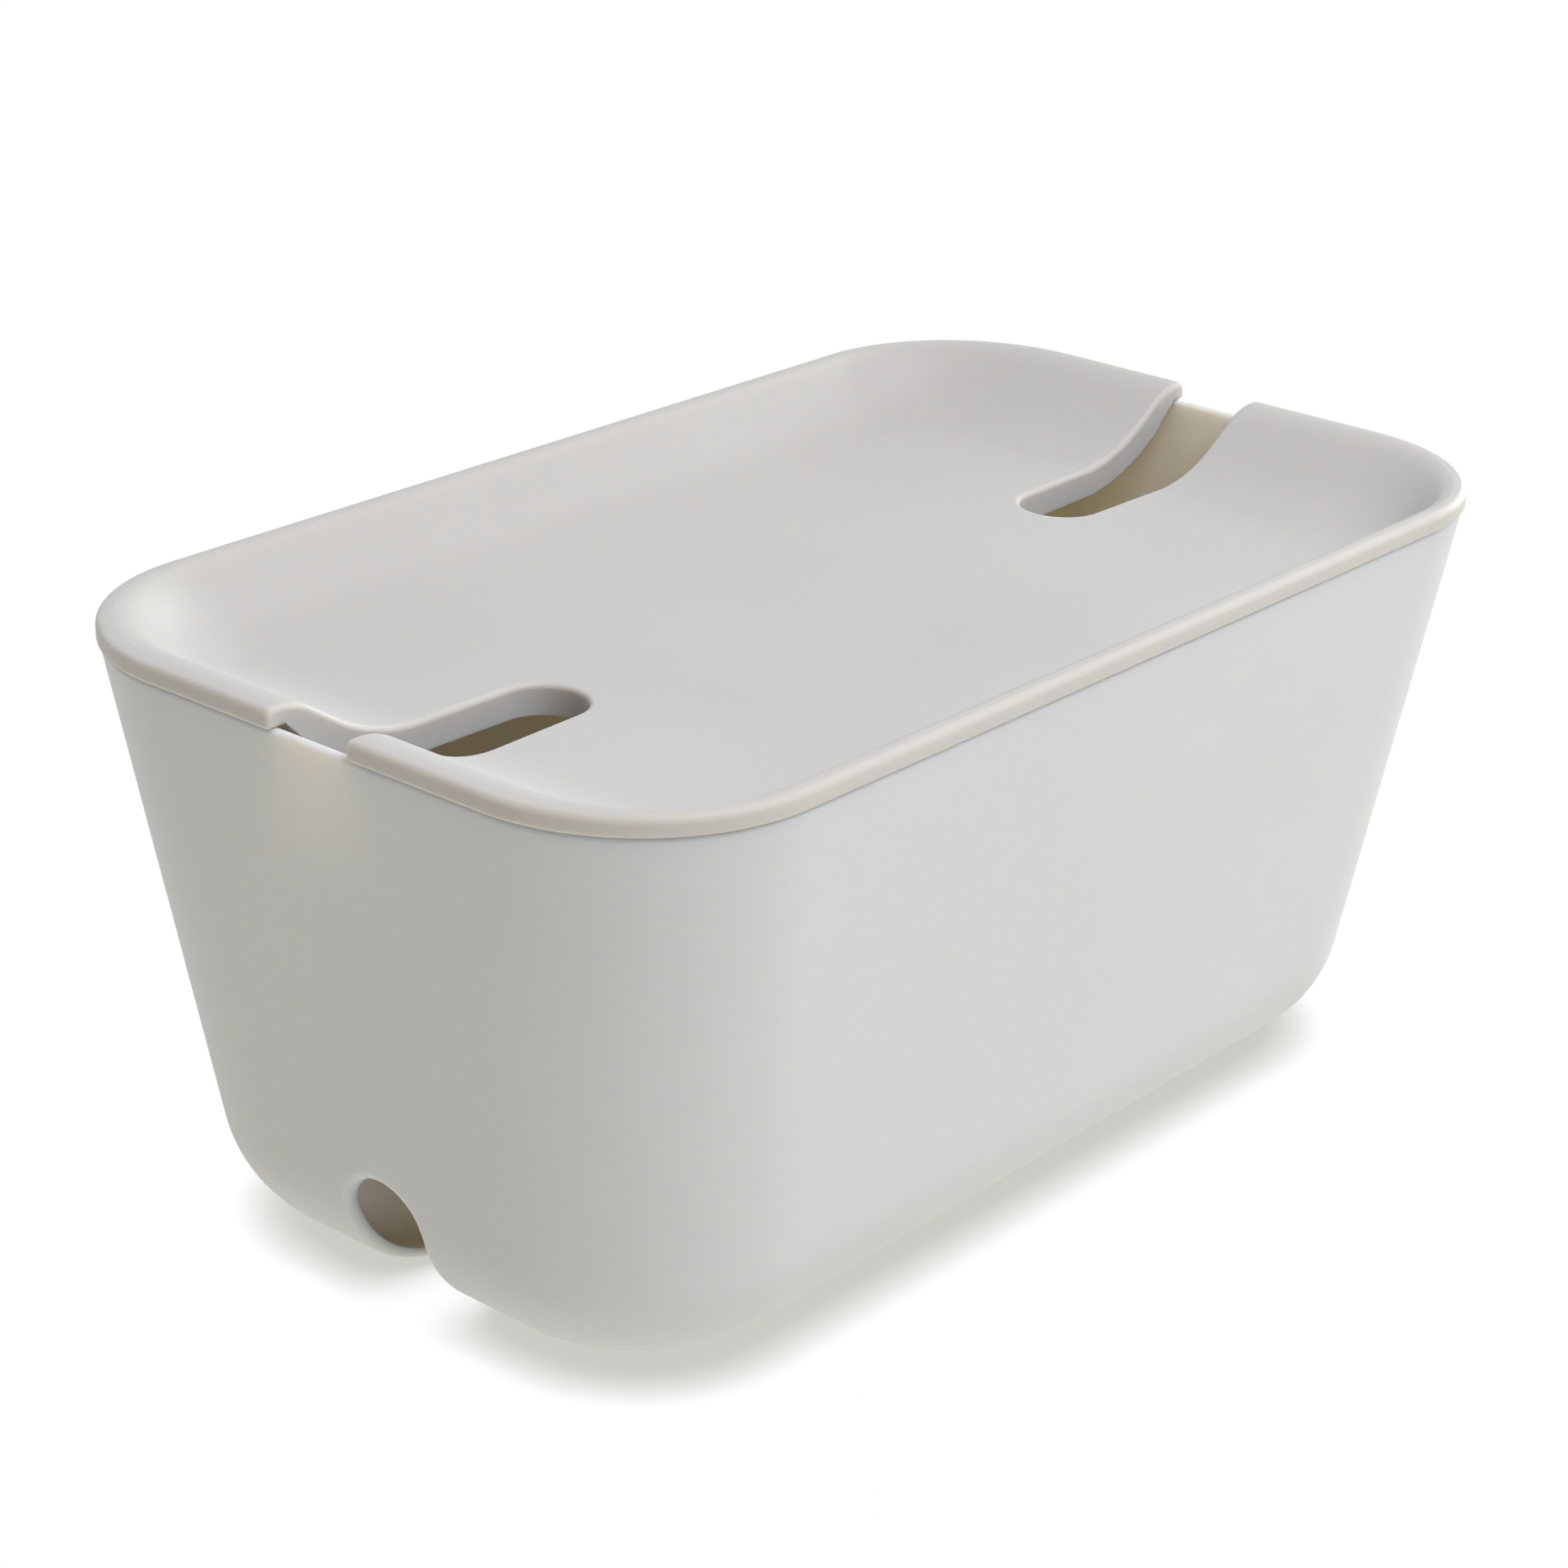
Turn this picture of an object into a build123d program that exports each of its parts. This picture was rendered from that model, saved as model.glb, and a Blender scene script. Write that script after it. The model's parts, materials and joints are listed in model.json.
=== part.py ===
from build123d import *
import math
import os

# Lidded cable tray: a tapered plastic tub with a loose lid whose top is a shallow tray.
# Millimetres. X runs along the length, Y across the width, Z up.
# The origin is on the ground under the middle of the tub.

# ---- overall sizes ----
LENGTH = 300.0            # over the lid rim
WIDTH = 176.4             # over the lid rim
CORNER_R = 42.6           # plan corner radius of the lid rim
FOOT_STAND = 1.0          # how far the feet hold the tub off the ground
TUB_HEIGHT = 132.0        # underside of the tub to its top edge
RIM_HEIGHT = 4.4          # thickness of the lid's rim over the tub's top edge

# ---- tub ----
RIM_OVERHANG = 0.6        # lid rim past the outside of the tub
END_TAPER = 19.7          # how much each short end leans in from top to bottom
SIDE_TAPER = 16.9         # how much each long side leans in from top to bottom
WALL = 2.6                # wall thickness, square to the wall
FLOOR = 2.8               # floor thickness
BOTTOM_R = 30.0           # outside radius between walls and floor
TUB_EDGE_R = 1.0          # rounding of the tub's top edge

# ---- cable outlet in each short end ----
OUTLET_HALF_WIDTH = 10.0
OUTLET_TOP = 32.0         # crown of the arch above the tub's underside
OUTLET_INNER_X = 103.0    # how far in towards the middle the outlet opens the floor
OUTLET_EDGE_R = 2.5       # rounding of the outlet's outer edge

# ---- lid ----
SKIN = 2.4                # thickness of the tray
TRAY_DEPTH = 13.4         # rim top to tray floor
RIM_EDGE_R = 1.6          # rounding of the rim's outer top edge
RIM_LOWER_R = 0.8         # rounding of the rim's outer bottom edge
END_CROWN = 3.0           # rim edge to where the rim starts to roll into an end wall
END_SLOPE = 33.0          # steepest slope of the tray's end walls, degrees
END_ROLL_R = 15.0         # convex radius where the rim rolls into an end wall
END_BLEND_R = 40.0        # concave radius where an end wall runs out on the tray floor
SIDE_CROWN = 2.6          # the same four for the long sides
SIDE_SLOPE = 56.0
SIDE_ROLL_R = 3.5
SIDE_BLEND_R = 16.0
SKIRT_GAP = 1.4           # play between the lid's locating skirt and the tub wall
SKIRT_THICK = 1.8
SKIRT_DROP = 5.0          # how far the skirt reaches down into the tub
SKIRT_BREAK = 22.0        # the skirt stops this far either side of a slot's middle

# ---- cable slot from each short end of the lid ----
SLOT_HALF_WIDTH = 9.6     # on the tray floor
SLOT_MOUTH_HALF = 10.4    # through the rim
SLOT_END_X = 77.0         # inner end of the slot, from the middle of the lid
SLOT_FLARE_X = 122.0      # where the slot has opened to the width of its mouth
FLANGE_DEPTH = 7.0        # turned-down edge, below the tray's top surface
FLANGE_THICK = 2.2
FLANGE_START = 5.0        # rim edge to where the flange leaves the rim's underside, at 45 degrees
SLOT_EDGE_R = 1.2         # rounding along the slot's top edge

# ---- feet ----
FOOT_R = 6.0
FOOT_POCKET = 0.8         # depth of the pocket in the tub's underside
FOOT_FIT = 0.1            # play round a foot in its pocket
FOOT_X = 84.0
FOOT_Y = 28.0

Z_BASE = FOOT_STAND
Z_SEAM = Z_BASE + TUB_HEIGHT
Z_TOP = Z_SEAM + RIM_HEIGHT
HALF_L = LENGTH / 2
HALF_W = WIDTH / 2
BIG = 400.0               # longer than anything in the part
TOUCH = 0.02              # closer than this counts as touching
DISH_STEPS = 12           # outlines stacked to make the tray's surface, less one


def rounded_plate(half_l, half_w, radius, z):
    """Face: a rectangle with round corners, at height z."""
    return Plane.XY.offset(z) * RectangleRounded(2 * half_l, 2 * half_w, radius)


def rounded_block(half_l, half_w, radius, z0, z1):
    """Upright block with round corners between two heights."""
    return extrude(rounded_plate(half_l, half_w, radius, z0), z1 - z0)


def edges_on(shape, *solids):
    """The edges of shape that lie on the surface of every one of the solids."""
    shells = [solid.shells()[0] for solid in solids]
    shares = (0.0, 0.25, 0.5, 0.75, 1.0)
    return [edge for edge in shape.edges()
            if all(shell.distance_to(edge @ share) < TOUCH for shell in shells for share in shares)]


# ---------------------------------------------------------------- tub
def tub_volume(inset, z_floor, z_top, fillet_r):
    """Tapered body with a round bottom edge; inset is measured square to the walls."""
    lean_end = END_TAPER / TUB_HEIGHT
    lean_side = SIDE_TAPER / TUB_HEIGHT
    in_end = inset * math.hypot(1, lean_end)
    in_side = inset * math.hypot(1, lean_side)

    def section(z):
        drop = Z_SEAM - z
        return rounded_plate(HALF_L - RIM_OVERHANG - lean_end * drop - in_end,
                             HALF_W - RIM_OVERHANG - lean_side * drop - in_side,
                             CORNER_R - RIM_OVERHANG - inset, z)

    body = loft([section(z_floor), section(z_top)], ruled=True)
    bottom = body.faces().sort_by(Axis.Z)[0]
    return fillet(bottom.edges(), fillet_r)


def outlet_cutter(side):
    """Arch through a short end's wall, open at the bottom, with a round inner end in the floor."""
    centre_z = Z_BASE + OUTLET_TOP - OUTLET_HALF_WIDTH
    arch = Plane.YZ * (Pos(0, centre_z) * Circle(OUTLET_HALF_WIDTH)
                       + Pos(0, centre_z - BIG / 2) * Rectangle(2 * OUTLET_HALF_WIDTH, BIG))
    tunnel = extrude(arch, side * BIG)
    round_x = OUTLET_INNER_X + OUTLET_HALF_WIDTH
    plan = (Pos(side * round_x, 0) * Circle(OUTLET_HALF_WIDTH)
            + Pos(side * (round_x + BIG / 2), 0) * Rectangle(BIG, 2 * OUTLET_HALF_WIDTH))
    column = Pos(0, 0, -BIG / 2) * extrude(plan, BIG)
    return tunnel & column


def foot_places():
    for end, x in (("left", -FOOT_X), ("right", FOOT_X)):
        for face, y in (("front", -FOOT_Y), ("back", FOOT_Y)):
            yield f"foot_{face}_{end}", x, y


def make_tub():
    outer = tub_volume(0, Z_BASE, Z_SEAM, BOTTOM_R)
    inner = tub_volume(WALL, Z_BASE + FLOOR, Z_SEAM + WALL, BOTTOM_R - WALL)
    tub = outer - inner
    top_edges = tub.faces().sort_by(Axis.Z)[-1].edges()
    tub = fillet(top_edges, TUB_EDGE_R)
    for side in (-1, 1):
        cutter = outlet_cutter(side)
        tub -= cutter
        tub = fillet(edges_on(tub, outer, cutter), OUTLET_EDGE_R)
    for _, x, y in foot_places():
        tub -= Pos(x, y, Z_BASE) * Cylinder(FOOT_R + FOOT_FIT, FOOT_POCKET,
                                            align=(Align.CENTER, Align.CENTER, Align.MIN))
    return tub


def make_foot(x, y):
    foot = Cylinder(FOOT_R, FOOT_POCKET + FOOT_STAND,
                    align=(Align.CENTER, Align.CENTER, Align.MIN))
    foot = fillet(foot.edges().sort_by(Axis.Z)[0], FOOT_STAND / 2)
    return Pos(x, y, 0) * foot


# ---------------------------------------------------------------- lid
def wall_curve(crown, slope, roll_r, blend_r, below=0.0):
    """Cross-section of a tray wall: a convex roll, a straight slope, a concave run-out.

    Returns the arc centres, the radii and the slope, for the surface that lies `below` under the
    tray's own top surface, measured square to it. Distances go inwards from the rim's edge, and
    depths down from the rim's top.
    """
    tilt = math.radians(slope)
    fall = TRAY_DEPTH - (roll_r + blend_r) * (1 - math.cos(tilt))
    run = fall / math.tan(tilt) + (roll_r + blend_r) * math.sin(tilt)
    roll_centre = (crown, roll_r)
    blend_centre = (crown + run, TRAY_DEPTH - blend_r)
    return roll_centre, blend_centre, roll_r - below, blend_r + below, tilt


def distance_at(depth, curve):
    """Distance in from the rim's edge at which a wall curve has come down to this depth."""
    (x1, z1), (x2, z2), r1, r2, tilt = curve
    roll_end = z1 - r1 * math.cos(tilt)
    blend_start = z2 + r2 * math.cos(tilt)
    if depth <= roll_end:
        return x1 + math.sqrt(max(0.0, r1 ** 2 - (z1 - depth) ** 2))
    if depth >= blend_start:
        return x2 - math.sqrt(max(0.0, r2 ** 2 - (depth - z2) ** 2))
    return x1 + r1 * math.sin(tilt) + (depth - roll_end) / math.tan(tilt)


def dish(below):
    """Solid bowl inside the surface that lies `below` under the tray's own: lofted outlines."""
    end = wall_curve(END_CROWN, END_SLOPE, END_ROLL_R, END_BLEND_R, below)
    side = wall_curve(SIDE_CROWN, SIDE_SLOPE, SIDE_ROLL_R, SIDE_BLEND_R, below)
    sections = []
    for step in range(DISH_STEPS + 1):
        share = (1 - math.cos(math.pi * step / DISH_STEPS)) / 2
        depth = below + TRAY_DEPTH * share
        in_end = distance_at(depth, end)
        in_side = distance_at(depth, side)
        sections.append(rounded_plate(HALF_L - in_end, HALF_W - in_side,
                                      CORNER_R - (in_end + in_side) / 2, Z_TOP - depth))
    return loft(sections[::-1])


def slot_plan(grow=0.0):
    """Outline of the slot at the +X end, seen from above, made larger by grow all round."""
    half, mouth = SLOT_HALF_WIDTH + grow, SLOT_MOUTH_HALF + grow
    centre_x = SLOT_END_X + SLOT_HALF_WIDTH
    straight = Polyline((centre_x, -half), (SLOT_FLARE_X, -mouth), (BIG, -mouth),
                        (BIG, mouth), (SLOT_FLARE_X, mouth), (centre_x, half))
    nose = ThreePointArc((centre_x, half), (centre_x - half, 0), (centre_x, -half))
    return make_face(straight + nose)


def flange_section():
    """The band under the tray's top surface along the length, at the +X end, in the XZ plane."""
    top = wall_curve(END_CROWN, END_SLOPE, END_ROLL_R, END_BLEND_R, SKIN / 2)
    low = wall_curve(END_CROWN, END_SLOPE, END_ROLL_R, END_BLEND_R, FLANGE_DEPTH)

    def arcs(curve):
        (x1, z1), (x2, z2), r1, r2, tilt = curve
        angles = (0, tilt / 2, tilt)
        roll = [(HALF_L - x1 - r1 * math.sin(a), Z_TOP - z1 + r1 * math.cos(a)) for a in angles]
        blend = [(HALF_L - x2 + r2 * math.sin(a), Z_TOP - z2 - r2 * math.cos(a)) for a in angles]
        return roll, blend[::-1]

    (a1, a2, a3), (a4, a5, a6) = arcs(top)
    (b1, b2, b3), (b4, b5, b6) = arcs(low)
    inner_x = SLOT_END_X - 2 * FLANGE_THICK
    edge = (ThreePointArc(a1, a2, a3) + Line(a3, a4) + ThreePointArc(a4, a5, a6)
            + Line(a6, (inner_x, a6[1])) + Line((inner_x, a6[1]), (inner_x, b6[1]))
            + Line((inner_x, b6[1]), b6)
            + ThreePointArc(b6, b5, b4) + Line(b4, b3) + ThreePointArc(b3, b2, b1)
            + Line(b1, a1))
    return make_face(Plane.XZ * edge)


def make_flange():
    """Turned-down edge round the slot at the +X end; its outer end runs up to the rim at 45 degrees."""
    grown = SLOT_MOUTH_HALF + FLANGE_THICK
    band = Pos(0, 2 * grown, 0) * extrude(flange_section(), 4 * grown)
    ring = extrude(slot_plan(FLANGE_THICK), BIG) - extrude(slot_plan(), BIG)
    x_start = HALF_L - FLANGE_START
    outside = Pos(x_start, 0, Z_SEAM) * Rot(0, 45, 0) * Box(
        BIG, BIG, BIG, align=(Align.MIN, Align.CENTER, Align.CENTER))
    rim_band = rounded_block(x_start, HALF_W, CORNER_R, Z_SEAM, Z_TOP - SKIN)
    return band & ring & (skirt_outline(0, Z_SEAM) - outside + rim_band)


def skirt_outline(z0, z1, inside=0.0):
    """Block with the outline of the locating skirt, or of its inner face."""
    inset = RIM_OVERHANG + WALL + SKIRT_GAP + inside
    return rounded_block(HALF_L - inset, HALF_W - inset, CORNER_R - inset, z0, z1)


def make_lid():
    rim = rounded_block(HALF_L, HALF_W, CORNER_R, Z_SEAM, Z_TOP)
    rim = fillet(rim.faces().sort_by(Axis.Z)[-1].edges(), RIM_EDGE_R)
    rim = fillet(rim.faces().sort_by(Axis.Z)[0].edges(), RIM_LOWER_R)
    z_skirt = Z_SEAM - SKIRT_DROP
    skirt = skirt_outline(z_skirt, Z_SEAM) - skirt_outline(z_skirt, Z_SEAM, SKIRT_THICK)
    skirt -= Pos(0, 0, z_skirt) * Box(BIG, 2 * SKIRT_BREAK, SKIRT_DROP,
                                      align=(Align.CENTER, Align.CENTER, Align.MIN))
    tray = dish(0)
    lid = rim + skirt + dish(SKIN) - tray
    slot = extrude(slot_plan(), BIG)
    flange = make_flange()
    for turn in (0, 180):
        cutter = Rot(0, 0, turn) * slot
        lid = (lid - cutter) + Rot(0, 0, turn) * flange
        mouth_edges = edges_on(lid, cutter, rim)
        crown = [edge for edge in mouth_edges if edge.center().Z > Z_TOP - RIM_EDGE_R]
        lid = fillet(edges_on(lid, cutter, tray) + crown, SLOT_EDGE_R)
    return lid


os.makedirs("parts", exist_ok=True)
tub = make_tub()
lid = make_lid()
for name, shape in (("cable_tub", tub), ("tray_lid", lid)):
    shape.label = name
    export_step(shape, f"parts/{name}.step")
for name, x, y in foot_places():
    export_step(make_foot(x, y), f"parts/{name}.step")
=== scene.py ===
import json
import math

import bpy
from mathutils import Matrix, Vector

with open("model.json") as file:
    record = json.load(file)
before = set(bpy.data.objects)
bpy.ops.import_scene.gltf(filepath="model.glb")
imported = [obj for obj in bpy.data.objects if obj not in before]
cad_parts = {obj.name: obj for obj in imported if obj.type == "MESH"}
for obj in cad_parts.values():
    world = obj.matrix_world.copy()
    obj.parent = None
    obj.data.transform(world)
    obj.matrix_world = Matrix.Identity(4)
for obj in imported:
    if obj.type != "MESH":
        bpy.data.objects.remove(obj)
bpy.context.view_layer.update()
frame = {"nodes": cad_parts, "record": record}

# Metres. X runs along the length, Y across the width, Z up, and the ground is at z = 0.

# ---- camera ----
CAMERA_PLACE = Vector((-0.5875, -0.4877, 0.4034))
CAMERA_HEADING = 49.777       # degrees, from +Y towards +X
CAMERA_DOWN = 23.012          # degrees below the horizon
CAMERA_ROLL = 1.406           # degrees
CAMERA_CLIP = 0.02
SENSOR = 36.0                 # millimetres
LENS = 85.98                  # millimetres

# ---- lights and sky: colour is linear red, green, blue ----
LIGHT_DISTANCE = 1.6
SKY_COLOUR = (1.0, 0.925, 0.80)
SKY_STRENGTH = 0.21
WHITE = (1, 1, 1)

# ---- floor ----
FLOOR_REACH = 12.0
FLOOR_GREY = (0.3, 0.3, 0.3)
FLOOR_ROUGHNESS = 0.9
FLOOR_GLOW = (1.0, 0.971, 0.896)
FLOOR_GLOW_STRENGTH = 0.545
SHADOW_COLOUR = (0.60, 0.59, 0.55)
SHADOW_REACH = 0.012          # how far the contact shadow spreads from the base
SHADOW_FULL = 0.3             # openness of the floor at which the shadow is darkest
SHADOW_GONE = 0.97            # and at which it has faded out

# ---- noise: it seldom leaves this range, so looks are spread over it ----
NOISE_LOW = 0.3
NOISE_HIGH = 0.7

# ---- plastic: noise is given as (scale, detail), and more scale is finer ----
CLOUDS = (9.0, 3.0)
PLASTIC_ROUGHNESS = (0.46, 0.56)
PLASTIC_SPECULAR = 0.3
GRAIN = (1500.0, 2.0)
GRAIN_STRENGTH = 0.12
GLOW_COLOUR = (1.0, 0.78, 0.5)
TUB_GLOW_DEPTH = 0.005        # how deep light runs in the wall
LID_GLOW_DEPTH = 0.003

# ---- rubber ----
DUST = (260.0, 4.0)
RUBBER_ROUGHNESS = (0.75, 0.9)
PITS = (2200.0, 3.0)
PIT_STRENGTH = 0.3

RELIEF = 0.0001               # height of grain and pits


# ---------------------------------------------------------------- camera
def make_camera():
    data = bpy.data.cameras.new("camera")
    data.sensor_width = SENSOR
    data.lens = LENS
    data.clip_start = CAMERA_CLIP
    camera = bpy.data.objects.new("camera", data)
    bpy.context.scene.collection.objects.link(camera)
    camera.matrix_world = (Matrix.Translation(CAMERA_PLACE)
                           @ Matrix.Rotation(math.radians(-CAMERA_HEADING), 4, "Z")
                           @ Matrix.Rotation(math.radians(90 - CAMERA_DOWN), 4, "X")
                           @ Matrix.Rotation(math.radians(CAMERA_ROLL), 4, "Z"))
    bpy.context.scene.camera = camera


# ---------------------------------------------------------------- materials
def new_material(name):
    material = bpy.data.materials.new(name)
    material.use_nodes = True
    nodes = material.node_tree.nodes
    return material, nodes, material.node_tree.links, nodes["Principled BSDF"]


def noise(nodes, links, vector, scale, detail):
    texture = nodes.new("ShaderNodeTexNoise")
    texture.inputs["Scale"].default_value = scale
    texture.inputs["Detail"].default_value = detail
    links.new(vector, texture.inputs["Vector"])
    return texture.outputs["Fac"]


def colour_between(nodes, links, factor, first, last, start=NOISE_LOW, end=NOISE_HIGH):
    """The colour first up to start, last from end on, and a blend of the two between them."""
    ramp = nodes.new("ShaderNodeValToRGB")
    ramp.color_ramp.elements[0].position = start
    ramp.color_ramp.elements[0].color = (*first, 1)
    ramp.color_ramp.elements[1].position = end
    ramp.color_ramp.elements[1].color = (*last, 1)
    links.new(factor, ramp.inputs["Fac"])
    return ramp.outputs["Color"]


def number_between(nodes, links, factor, low, high):
    spread = nodes.new("ShaderNodeMapRange")
    spread.inputs["From Min"].default_value = NOISE_LOW
    spread.inputs["From Max"].default_value = NOISE_HIGH
    spread.inputs["To Min"].default_value = low
    spread.inputs["To Max"].default_value = high
    links.new(factor, spread.inputs["Value"])
    return spread.outputs["Result"]


def moulded_surface(name, light, dark, blotches, roughness, relief, relief_strength):
    """Colour and gloss vary together in soft blotches, over a fine relief."""
    material, nodes, links, shader = new_material(name)
    place = nodes.new("ShaderNodeTexCoord").outputs["Object"]
    patches = noise(nodes, links, place, *blotches)
    links.new(colour_between(nodes, links, patches, dark, light), shader.inputs["Base Color"])
    links.new(number_between(nodes, links, patches, *roughness), shader.inputs["Roughness"])

    bump = nodes.new("ShaderNodeBump")
    bump.inputs["Strength"].default_value = relief_strength
    bump.inputs["Distance"].default_value = RELIEF
    links.new(noise(nodes, links, place, *relief), bump.inputs["Height"])
    links.new(bump.outputs["Normal"], shader.inputs["Normal"])
    return material, shader


def plastic(name, light, dark, glow_depth):
    """Satin moulded plastic: faint clouding, a fine spark-eroded grain, uneven gloss.

    The walls let a little light through, warmer than what falls on them.
    """
    material, shader = moulded_surface(name, light, dark, CLOUDS, PLASTIC_ROUGHNESS, GRAIN, GRAIN_STRENGTH)
    shader.inputs["Specular IOR Level"].default_value = PLASTIC_SPECULAR
    shader.inputs["Subsurface Weight"].default_value = 1.0
    shader.inputs["Subsurface Radius"].default_value = GLOW_COLOUR
    shader.inputs["Subsurface Scale"].default_value = glow_depth
    return material


def rubber(name, light, dark):
    """Matt rubber with a dusty, slightly pitted face."""
    return moulded_surface(name, light, dark, DUST, RUBBER_ROUGHNESS, PITS, PIT_STRENGTH)[0]


def show_to_camera(nodes, links, lighting, seen, output):
    """One shader for the light it gives, another for how it looks."""
    mix = nodes.new("ShaderNodeMixShader")
    path = nodes.new("ShaderNodeLightPath")
    links.new(path.outputs["Is Camera Ray"], mix.inputs[0])
    links.new(lighting, mix.inputs[1])
    links.new(seen, mix.inputs[2])
    links.new(mix.outputs[0], output.inputs["Surface"])


def floor_material():
    """White paper sweep: it lights the object from below, and is seen white with a contact shadow."""
    material, nodes, links, shader = new_material("floor")
    shader.inputs["Base Color"].default_value = (*FLOOR_GREY, 1)
    shader.inputs["Roughness"].default_value = FLOOR_ROUGHNESS
    shader.inputs["Specular IOR Level"].default_value = 0.0
    shader.inputs["Emission Color"].default_value = (*FLOOR_GLOW, 1)
    shader.inputs["Emission Strength"].default_value = FLOOR_GLOW_STRENGTH

    openness = nodes.new("ShaderNodeAmbientOcclusion")
    openness.inputs["Distance"].default_value = SHADOW_REACH
    shade = colour_between(nodes, links, openness.outputs["AO"], SHADOW_COLOUR, WHITE,
                           start=SHADOW_FULL, end=SHADOW_GONE)
    seen = nodes.new("ShaderNodeEmission")
    links.new(shade, seen.inputs["Color"])
    show_to_camera(nodes, links, shader.outputs[0], seen.outputs[0], nodes["Material Output"])
    return material


# ---------------------------------------------------------------- stage
def make_floor():
    mesh = bpy.data.meshes.new("floor")
    corners = [(x * FLOOR_REACH, y * FLOOR_REACH, 0) for x, y in ((-1, -1), (1, -1), (1, 1), (-1, 1))]
    mesh.from_pydata(corners, [], [(0, 1, 2, 3)])
    mesh.materials.append(floor_material())
    floor = bpy.data.objects.new("floor", mesh)
    bpy.context.scene.collection.objects.link(floor)


def softbox(name, azimuth, elevation, width, height, power, colour):
    """Area light LIGHT_DISTANCE from the origin, facing it. Azimuth 0 stands at -Y, 90 at +X."""
    data = bpy.data.lights.new(name, "AREA")
    data.shape = "RECTANGLE"
    data.size = width
    data.size_y = height
    data.energy = power
    data.color = colour
    lamp = bpy.data.objects.new(name, data)
    bpy.context.scene.collection.objects.link(lamp)
    around, up = math.radians(azimuth), math.radians(elevation)
    outward = Vector((math.sin(around) * math.cos(up), -math.cos(around) * math.cos(up), math.sin(up)))
    lamp.location = outward * LIGHT_DISTANCE
    lamp.rotation_mode = "QUATERNION"
    lamp.rotation_quaternion = (-outward).to_track_quat("-Z", "Y")


def make_world():
    """The sky gives a dim warm light, and is seen white."""
    world = bpy.data.worlds.new("studio")
    world.use_nodes = True
    bpy.context.scene.world = world
    nodes, links = world.node_tree.nodes, world.node_tree.links
    sky = nodes["Background"]
    sky.inputs["Color"].default_value = (*SKY_COLOUR, 1)
    sky.inputs["Strength"].default_value = SKY_STRENGTH
    seen = nodes.new("ShaderNodeBackground")
    seen.inputs["Color"].default_value = (*WHITE, 1)
    seen.inputs["Strength"].default_value = 1.0
    show_to_camera(nodes, links, sky.outputs[0], seen.outputs[0], nodes["World Output"])
    bpy.context.scene.view_settings.view_transform = "Standard"


make_camera()
make_floor()
make_world()
softbox("front_high", azimuth=0, elevation=60, width=1.0, height=1.0, power=20.2,
        colour=(0.912, 0.92, 1.0))
softbox("right_low", azimuth=90, elevation=14, width=1.0, height=0.6, power=14.6,
        colour=(0.925, 1.0, 0.978))
softbox("back_fill", azimuth=180, elevation=30, width=1.0, height=1.0, power=5.5,
        colour=(0.727, 0.836, 1.0))

# ---------------------------------------------------------------- looks of the CAD pieces
looks = {
    "tub_plastic": plastic("tub_plastic_look", light=(0.80, 0.80, 0.79), dark=(0.77, 0.77, 0.76),
                           glow_depth=TUB_GLOW_DEPTH),
    "lid_plastic": plastic("lid_plastic_look", light=(0.665, 0.648, 0.618), dark=(0.642, 0.625, 0.595),
                           glow_depth=LID_GLOW_DEPTH),
    "foot_rubber": rubber("foot_rubber_look", light=(0.55, 0.55, 0.54), dark=(0.48, 0.48, 0.47)),
}
for subpart in frame["record"]["subparts"]:
    mesh = frame["nodes"][subpart["node"]].data
    mesh.materials.clear()
    mesh.materials.append(looks[subpart["material_slot"]])
